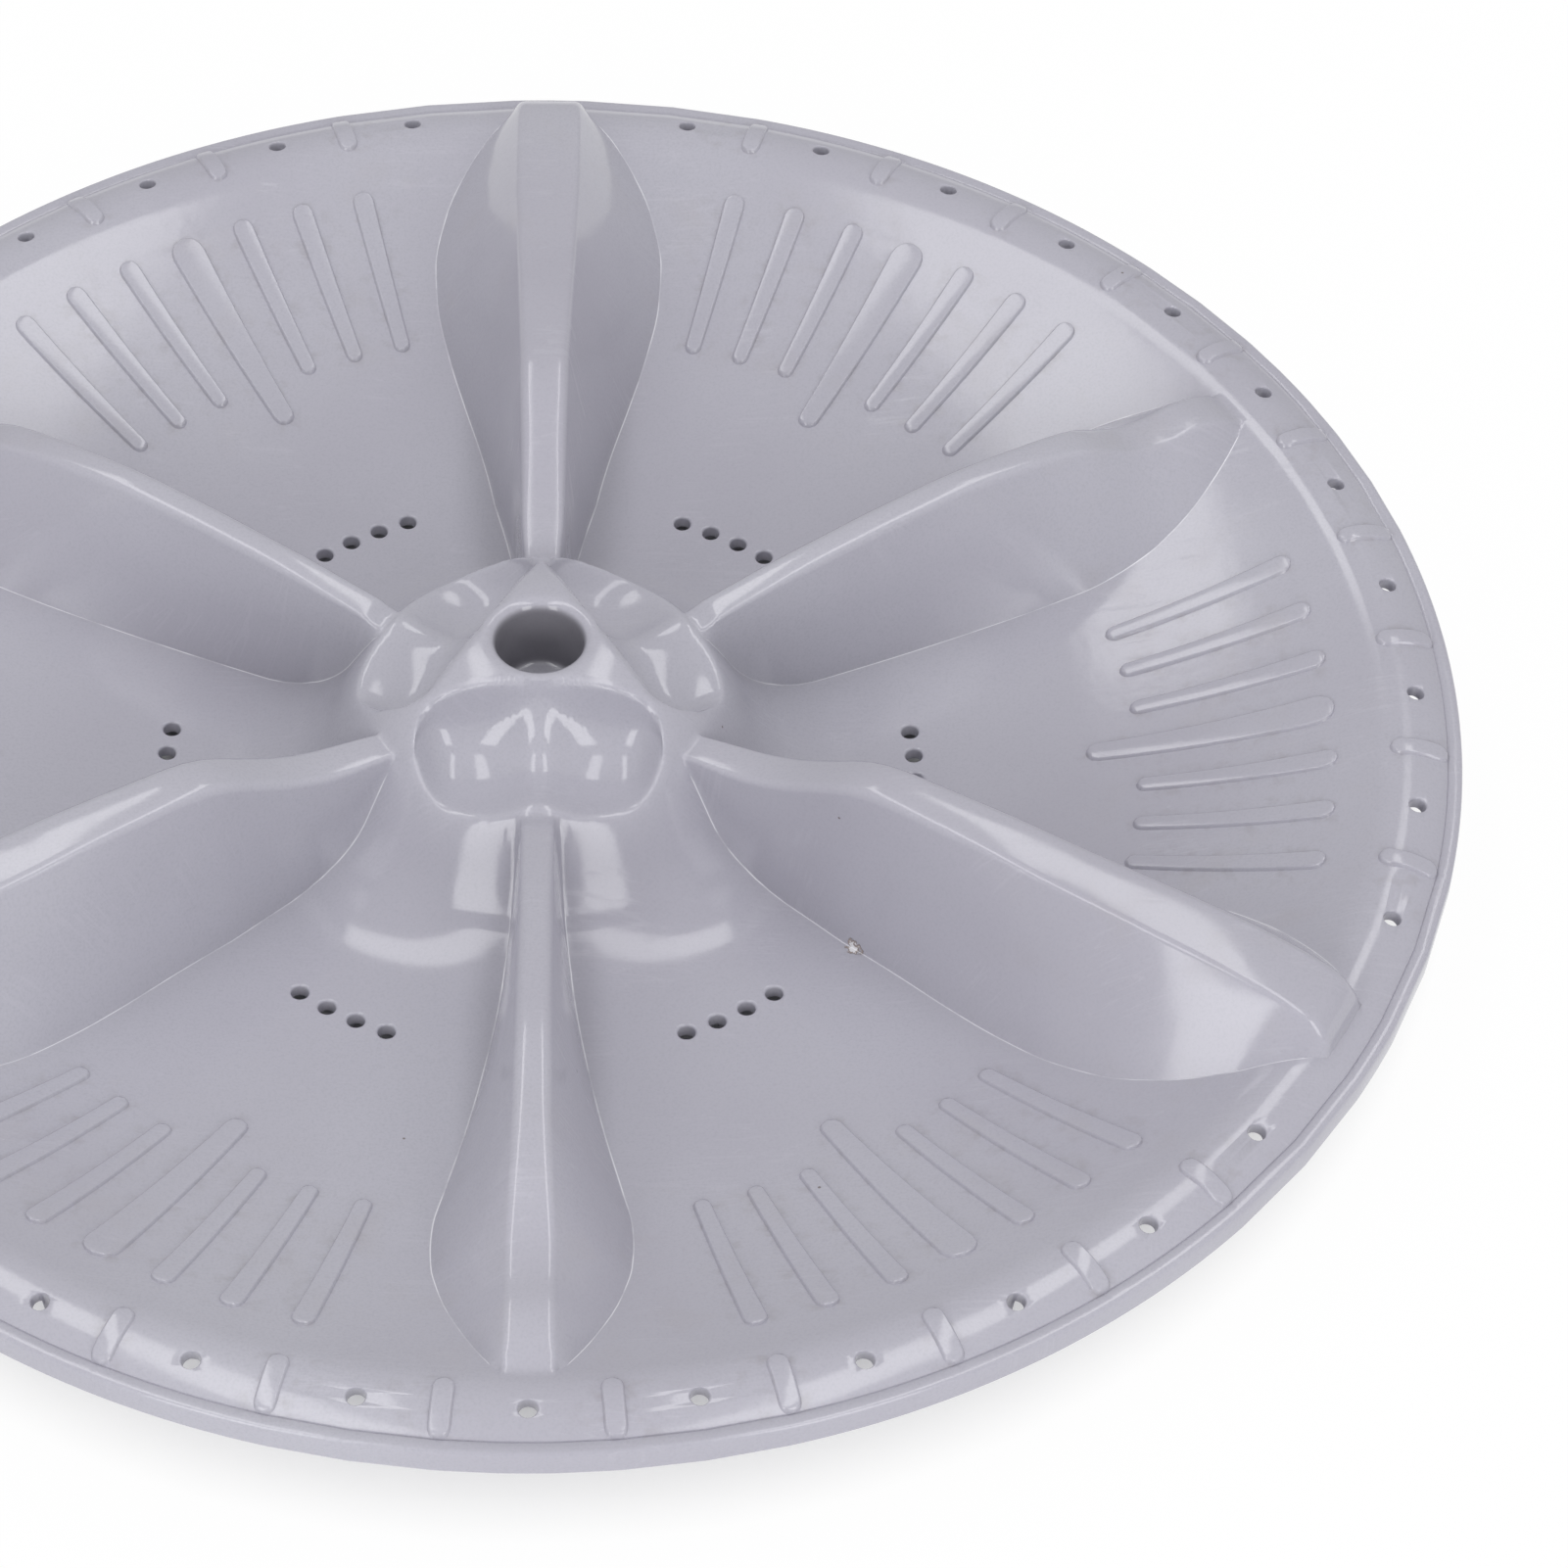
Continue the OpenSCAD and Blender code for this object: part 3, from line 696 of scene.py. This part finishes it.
for (row, column), (u, v) in places.items():
    r, side, value = stations[row]
    if row in hub_rows[1:] and column < line_count - 1:
        here = beside[row, column]
        u, v = gathered(u, v, here, gathered_distance(rim_spots.get((row, column), here)))
    if side == "level":
        z = value
    elif side == "under":
        z = under_height(r, math.atan2(v, u))
    else:
        z = top_height(math.hypot(u, v), math.atan2(v, u)) - value
    vert = skin.verts[row * line_count + column]
    vert.co = (u, v, z)
    # The first column beyond each vane foot is marked, over most of the vane, for the painted highlight there.
    beside_foot = {VANE_LINES: (33.5, 152), line_count - 1 - VANE_LINES: (34, 160)}.get(column, (1, 0))
    if side == "top" and beside_foot[0] < r < beside_foot[1]:
        vert[foot_highlight_mark] = 1
for line, _ in RIM_LINES[1:-1]:
    lined = [skin.verts[row * line_count + column] for (row, column), own in rim_spots.items() if own == line]
    bmesh.ops.connect_verts(skin, verts=lined)
    skin.verts.ensure_lookup_table()
bmesh.ops.mirror(skin, geom=skin.verts[:] + skin.edges[:] + skin.faces[:], axis="Y", merge_dist=0.001)
bmesh.ops.rotate(skin, verts=skin.verts, matrix=Matrix.Rotation(math.radians(30), 3, "Z"))
bmesh.ops.spin(skin, geom=skin.verts[:] + skin.edges[:] + skin.faces[:], axis=(0, 0, 1), cent=(0, 0, 0),
               angle=math.tau, steps=3, use_duplicate=True)
bmesh.ops.remove_doubles(skin, verts=skin.verts, dist=0.004)
bmesh.ops.recalc_face_normals(skin, faces=skin.faces)


# Drain holes and drive socket: the mould's pins leave them. Each hole has a rounded lead-in at the
# upper skin, and its pin also passes a rib that lies below. The socket under the seat is a spline
# for the gearbox shaft, with the screw hole above.
hole_r = 1.6
lead_r = 0.5
rim_hole_r = disc_r - 8
inner_hole_r = 70
HOLE_SIDES = 20
hole_depth = wall + under_rib_h + 1.5
hole_outline = [(hole_r, -hole_depth), (hole_r, -lead_r)]
hole_outline += [(hole_r + lead_r * (1 - math.cos(a)), lead_r * (math.sin(a) - 1)) for a in QUARTER[1:]]
hole_outline += [(hole_r + lead_r + 0.1, 0.6)]


def pin_mesh(outline, sides):
    pin = bmesh.new()
    bmesh.ops.create_circle(pin, cap_ends=True, segments=sides, radius=outline[0][0])
    bmesh.ops.translate(pin, verts=pin.verts, vec=(0, 0, outline[0][1]))
    for (r0, z0), (r1, z1) in zip(outline, outline[1:]):
        top_face = max(pin.faces, key=lambda face: face.calc_center_median().z)
        grown = bmesh.ops.extrude_face_region(pin, geom=[top_face])["geom"]
        rim = [v for v in grown if isinstance(v, bmesh.types.BMVert)]
        bmesh.ops.translate(pin, verts=rim, vec=(0, 0, z1 - z0))
        bmesh.ops.scale(pin, verts=rim, vec=(r1 / r0, r1 / r0, 1))
        if top_face.is_valid and len(pin.faces) > sides + 2:
            bmesh.ops.delete(pin, geom=[top_face], context="FACES")
    bmesh.ops.recalc_face_normals(pin, faces=pin.faces)
    data = bpy.data.meshes.new("pin")
    pin.to_mesh(data)
    pin.free()
    return data


pins = bmesh.new()


def add_pin(data, place):
    first = len(pins.verts)
    pins.from_mesh(data)
    pins.verts.ensure_lookup_table()
    bmesh.ops.transform(pins, verts=pins.verts[first:], matrix=place)


hole_pin = pin_mesh(hole_outline, HOLE_SIDES)


def add_hole(r, degrees):
    lean = Matrix.Rotation(-math.atan(skin_slope(r)), 4, "Y")
    place = Matrix.Translation((r, 0, skin_z(r)))
    add_pin(hole_pin, Matrix.Rotation(math.radians(degrees), 4, "Z") @ place @ lean)


for tall_angle in (90, 210, 330):
    for n in range(1, 12):
        add_hole(rim_hole_r, tall_angle + 10 * n)
for sixth in range(6):
    for offset in (-7.5, -2.5, 2.5, 7.5):
        add_hole(inner_hole_r, 60 * sixth + offset)

screw_r = 3.25
seat_t = 3.5
spline_r = 6
tooth_h = 1
TEETH = 11
socket_z = seat_z - seat_t
add_pin(pin_mesh([(screw_r, socket_z - 1), (screw_r, seat_z + 1)], 40), Matrix.Identity(4))
add_pin(pin_mesh([(spline_r + 1.4, -1), (spline_r + 1.4, boss_z + 0.4), (spline_r - tooth_h, boss_z + 3)], 44),
        Matrix.Identity(4))
spline = bmesh.new()
bmesh.ops.create_circle(spline, cap_ends=True, segments=TEETH * 4, radius=spline_r)
spline.verts.ensure_lookup_table()
for n, corner in enumerate(spline.verts):
    if n % 4 in (2, 3):
        corner.co *= (spline_r - tooth_h) / spline_r
shaft = bmesh.ops.extrude_face_region(spline, geom=spline.faces[:])["geom"]
bmesh.ops.translate(spline, verts=[v for v in shaft if isinstance(v, bmesh.types.BMVert)], vec=(0, 0, socket_z))
bmesh.ops.recalc_face_normals(spline, faces=spline.faces)
spline_data = bpy.data.meshes.new("spline")
spline.to_mesh(spline_data)
add_pin(spline_data, Matrix.Identity(4))


def piece_from(mesh, name):
    bmesh.ops.scale(mesh, vec=(MM, MM, MM), verts=mesh.verts)
    data = bpy.data.meshes.new(name)
    mesh.to_mesh(data)
    mesh.free()
    piece = bpy.data.objects.new(name, data)
    bpy.context.scene.collection.objects.link(piece)
    return piece


pulsator = piece_from(skin, "pulsator_moulding")
pin_set = piece_from(pins, "pin_set")
cut = pulsator.modifiers.new("cut", "BOOLEAN")
cut.operation = "DIFFERENCE"
cut.solver = "MANIFOLD"
cut.object = pin_set
bpy.context.view_layer.update()
cut_data = bpy.data.meshes.new_from_object(pulsator.evaluated_get(bpy.context.evaluated_depsgraph_get()))
pulsator.modifiers.clear()
pulsator.data = cut_data
bpy.data.objects.remove(pin_set)

# Shading: smooth faces, with crisp edges where the mould has them.
SHARP = math.radians(40)
finish = bmesh.new()
finish.from_mesh(pulsator.data)
for face in finish.faces:
    face.smooth = True
for edge in finish.edges:
    edge.smooth = len(edge.link_faces) == 2 and edge.calc_face_angle(0) < SHARP
# Each vertex near a strip or rib gets its closeness to the foot, for the dirt and painted shade laid there; the
# raised ones are grouped so that their tops get flat normals.
strip_foot = finish.verts.layers.float.new("strip_foot")
raised = []
finish.verts.index_update()
for vert in finish.verts:
    r = math.hypot(vert.co.x, vert.co.y) / MM
    if middle_in - 2 < r and vert.co.z > (low_z + 1) * MM:
        angle = abs((math.degrees(math.atan2(vert.co.y, vert.co.x)) - 30 + 60) % 120 - 60)
        gaps = [strip.foot_gap(r, math.radians(angle)) for strip in strips + list(ribs.values())]
        vert[strip_foot] = max(1 - min(abs(gap) for gap in gaps) / 0.5, 0)
        if max(gaps) > -0.6:
            raised.append(vert.index)
finish.to_mesh(pulsator.data)
finish.free()
pulsator.vertex_groups.new(name="raised").add(raised, 1, "REPLACE")
flat_tops = pulsator.modifiers.new("flat_tops", "WEIGHTED_NORMAL")
flat_tops.mode = "FACE_AREA"
flat_tops.weight = 50
flat_tops.keep_sharp = True
flat_tops.vertex_group = "raised"

# Surface: ABS moulded against a polished tool. It is glossy with a very fine ripple, and carries
# what use leaves: a thin film near the strips, hairline scratches, dirt specks and one ragged chip.
# It also carries painted shade at the strip feet and on the bore wall, and a painted highlight along the vane feet.
plastic = material_named("injection_moulded_abs")
place = node(plastic, "ShaderNodeTexCoord", {}, {})
in_mm = node(plastic, "ShaderNodeVectorMath", {"operation": "SCALE", "Scale": 1 / MM}, {
    0: place.outputs["Object"],
})
spot = in_mm.outputs[0]
on_plan = node(plastic, "ShaderNodeVectorMath", {"operation": "MULTIPLY", 1: (1, 1, 0)}, {0: spot})
from_bore = node(plastic, "ShaderNodeVectorMath", {"operation": "LENGTH"}, {0: on_plan.outputs[0]})
noise_sizes_mm = {
    "flow": (70, 2), "grain": (0.5, 3), "patches": (11, 4), "foot_dirt_and_shade": (3, 3), "chip_rag": (1.1, 3),
    "foot_highlight_breaks": (9, 2), "dullness": (24, 3), "ripple": (2.2, 2), "pimples": (0.32, 2),
}
noise = {}
for name, (size_mm, detail) in noise_sizes_mm.items():
    pattern = node(plastic, "ShaderNodeTexNoise", {"Scale": 1 / size_mm, "Detail": detail}, {"Vector": spot})
    noise[name] = pattern.outputs["Fac"]

# Colour: pale lilac grey, a shade uneven over the disc as the melt flowed, with a fine grain.
flow_share = node(plastic, "ShaderNodeMapRange", {"From Min": 0.35, "From Max": 0.7}, {"Value": noise["flow"]})
grain_share = node(plastic, "ShaderNodeMapRange", {"From Min": 0.45, "From Max": 0.75, "To Max": 0.5}, {
    "Value": noise["grain"],
})

# Film: dried wash water, thin and faintly warm, in patches between the strips. At their feet a darker
# layer lies in patches: partly dirt, partly painted shade in the crease at each foot.
film_start = node(plastic, "ShaderNodeMapRange", {"From Min": 95, "From Max": 115}, {
    "Value": from_bore.outputs["Value"],
})
film_end = node(plastic, "ShaderNodeMapRange", {"From Min": 158, "From Max": 148}, {
    "Value": from_bore.outputs["Value"],
})
film_ring = node(plastic, "ShaderNodeMath", {"operation": "MULTIPLY"}, {
    0: film_start.outputs[0],
    1: film_end.outputs[0],
})
film_patches = node(plastic, "ShaderNodeMapRange", {"From Min": 0.55, "From Max": 0.72, "To Max": 0.12}, {
    "Value": noise["patches"],
})
film = node(plastic, "ShaderNodeMath", {"operation": "MULTIPLY"}, {
    0: film_ring.outputs[0],
    1: film_patches.outputs[0],
})
# The darker layer at the feet of strips and ribs is partly dirt, partly painted shade in the crease.
strip_feet = node(plastic, "ShaderNodeAttribute", {"attribute_name": "strip_foot"}, {})
foot_dirt_and_shade_patches = node(plastic, "ShaderNodeMapRange", {"From Min": 0.5, "From Max": 0.7, "To Max": 0.2}, {
    "Value": noise["foot_dirt_and_shade"],
})
foot_dirt_and_shade = node(plastic, "ShaderNodeMath", {"operation": "MULTIPLY"}, {
    0: strip_feet.outputs["Fac"],
    1: foot_dirt_and_shade_patches.outputs[0],
})

# Specks: dirt grains of a third of a millimetre, a few centimetres apart, in irregular places.
speck_cells = node(plastic, "ShaderNodeTexVoronoi", {"Scale": 1 / 17}, {"Vector": spot})
speck_pick = node(plastic, "ShaderNodeMapRange", {"From Min": 0.6, "From Max": 0.62, "To Max": 0.75}, {
    "Value": speck_cells.outputs["Color"],
})
speck_spot = node(plastic, "ShaderNodeMapRange", {"From Min": 0.021, "From Max": 0.014}, {
    "Value": speck_cells.outputs["Distance"],
})
specks = node(plastic, "ShaderNodeMath", {"operation": "MULTIPLY"}, {
    0: speck_spot.outputs[0],
    1: speck_pick.outputs[0],
})

# Chip: one ragged nick, white where the plastic is torn and brown where dirt has settled in it.
chip_mm = (57.5, -45.0, 6.3)
chip_place = node(plastic, "ShaderNodeVectorMath", {"operation": "SUBTRACT", 1: chip_mm}, {0: spot})
chip_from = node(plastic, "ShaderNodeVectorMath", {"operation": "LENGTH"}, {0: chip_place.outputs[0]})
chip_rag = node(plastic, "ShaderNodeMapRange", {
    "From Min": 0.3, "From Max": 0.7, "To Min": -0.9, "To Max": 0.9,
}, {"Value": noise["chip_rag"]})
chip_edge = node(plastic, "ShaderNodeMath", {"operation": "ADD"}, {
    0: chip_from.outputs["Value"],
    1: chip_rag.outputs[0],
})
chip_dirt = node(plastic, "ShaderNodeMapRange", {"From Min": 1.6, "From Max": 1.3, "To Max": 0.7}, {
    "Value": chip_edge.outputs[0],
})
chip_torn = node(plastic, "ShaderNodeMapRange", {"From Min": 1.1, "From Max": 0.9}, {
    "Value": chip_edge.outputs[0],
})

# Painted highlight: a near-white line, in broken lengths, is painted along the feet of the vanes where the
# mould's blocks meet, as the glint of a hair of flash; the mesh has no ridge there.
foot_highlight_line = node(plastic, "ShaderNodeAttribute", {"attribute_name": "painted_foot_highlight"}, {})
foot_highlight_share = node(plastic, "ShaderNodeMapRange", {
    "From Min": 0.38, "From Max": 0.55, "To Min": 0.15, "To Max": 0.75,
}, {"Value": noise["foot_highlight_breaks"]})
painted_foot_highlight = node(plastic, "ShaderNodeMath", {"operation": "MULTIPLY"}, {
    0: foot_highlight_line.outputs["Fac"],
    1: foot_highlight_share.outputs[0],
})

# Scratches: hairlines in three directions, broken up, as laundry and hands leave them.
scratches = None
for turn_degrees, length_mm, gap_mm in ((24, 30, 1.5), (-41, 38, 1.9), (83, 26, 2.4)):
    turned = node(plastic, "ShaderNodeMapping", {
        "Rotation": (0, 0, math.radians(turn_degrees)), "Scale": (1 / length_mm, 1 / gap_mm, 0),
    }, {"Vector": spot})
    streaks = node(plastic, "ShaderNodeTexNoise", {"Scale": 1, "Detail": 1}, {"Vector": turned.outputs[0]})
    hairline = node(plastic, "ShaderNodeMath", {"operation": "COMPARE", 1: 0.5, 2: 0.008}, {
        0: streaks.outputs["Fac"],
    })
    breaks = node(plastic, "ShaderNodeTexNoise", {"Scale": 1 / (16 + gap_mm), "Detail": 2}, {"Vector": spot})
    kept = node(plastic, "ShaderNodeMapRange", {"From Min": 0.55, "From Max": 0.6}, {"Value": breaks.outputs["Fac"]})
    broken = node(plastic, "ShaderNodeMath", {"operation": "MULTIPLY"}, {
        0: hairline.outputs[0],
        1: kept.outputs[0],
    })
    if scratches:
        broken = node(plastic, "ShaderNodeMath", {"operation": "MAXIMUM"}, {
            0: scratches.outputs[0],
            1: broken.outputs[0],
        })
    scratches = broken
scratch_tint = node(plastic, "ShaderNodeMath", {"operation": "MULTIPLY", 1: 0.12}, {0: scratches.outputs[0]})

# Bore: its wall is painted dark grey as painted shade, fading out over the mouth and leaving the seat clear.
clear_of_seat = node(plastic, "ShaderNodeMapRange", {"From Min": bore_r - 0.9, "From Max": bore_r - 0.2}, {
    "Value": from_bore.outputs["Value"],
})
bore_wall_shade = node(plastic, "ShaderNodeMapRange", {
    "From Min": bore_r + 0.7, "From Max": bore_r + 0.1, "To Max": 0.7,
}, {"Value": from_bore.outputs["Value"]})
bore_painted_shade = node(plastic, "ShaderNodeMath", {"operation": "MULTIPLY"}, {
    0: clear_of_seat.outputs[0],
    1: bore_wall_shade.outputs[0],
})

# The colours lie over one another in this order, each by its own share. The dark layer at the strip feet is
# partly painted shade, the near-white line at the vane feet is a painted highlight, and the dark grey in the
# bore is painted shade.
base = node(plastic, "ShaderNodeRGB", {}, {})
base.outputs[0].default_value = linear("#B3B2BC")
colour = base.outputs[0]
for code, share in (
    ("#ABA9B4", flow_share), ("#A3A2AD", grain_share), ("#A39D9B", film), ("#7D766F", foot_dirt_and_shade),
    ("#5E5148", specks), ("#8E7B6C", chip_dirt), ("#DDDCE0", chip_torn), ("#F2F2F6", painted_foot_highlight),
    ("#C4C3CC", scratch_tint), ("#68666C", bore_painted_shade),
):
    layer = node(plastic, "ShaderNodeMix", {"data_type": "RGBA", 7: linear(code)}, {
        0: share.outputs[0],
        6: colour,
    })
    colour = layer.outputs[2]

# Gloss: a polished mould leaves about 0.1, duller under the film, in the chip and on scratches.
dull = node(plastic, "ShaderNodeMapRange", {
    "From Min": 0.35, "From Max": 0.7, "To Min": 0.09, "To Max": 0.15,
}, {"Value": noise["dullness"]})
for share, added in ((film, 0.25), (chip_dirt, 0.36), (scratches, 0.12)):
    dull = node(plastic, "ShaderNodeMath", {"operation": "MULTIPLY_ADD", 1: added}, {
        0: share.outputs[0],
        2: dull.outputs[0],
    })

# Relief: a ripple of some micrometres, and fine pimples that are stronger where the land is worn.
peel = node(plastic, "ShaderNodeBump", {"Strength": 1, "Distance": 0.012 * MM}, {"Height": noise["ripple"]})
worn = node(plastic, "ShaderNodeMapRange", {"From Min": 27, "From Max": 14, "To Min": 1, "To Max": 4}, {
    "Value": from_bore.outputs["Value"],
})
pimple_height = node(plastic, "ShaderNodeMath", {"operation": "MULTIPLY"}, {
    0: noise["pimples"],
    1: worn.outputs[0],
})
pimples = node(plastic, "ShaderNodeBump", {"Strength": 1, "Distance": 0.0015 * MM}, {
    "Height": pimple_height.outputs[0],
    "Normal": peel.outputs[0],
})
nick = node(plastic, "ShaderNodeBump", {"Strength": 1, "Distance": 0.2 * MM, "invert": True}, {
    "Height": chip_dirt.outputs[0],
    "Normal": pimples.outputs[0],
})
shader = node(plastic, "ShaderNodeBsdfPrincipled", {"IOR": 1.53}, {
    "Base Color": colour,
    "Roughness": dull.outputs[0],
    "Normal": nick.outputs[0],
})
node(plastic, "ShaderNodeOutputMaterial", {}, {"Surface": shader.outputs[0]})
pulsator.data.materials.clear()
pulsator.data.materials.append(plastic)
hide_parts("pulsator")
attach(pulsator, "root")
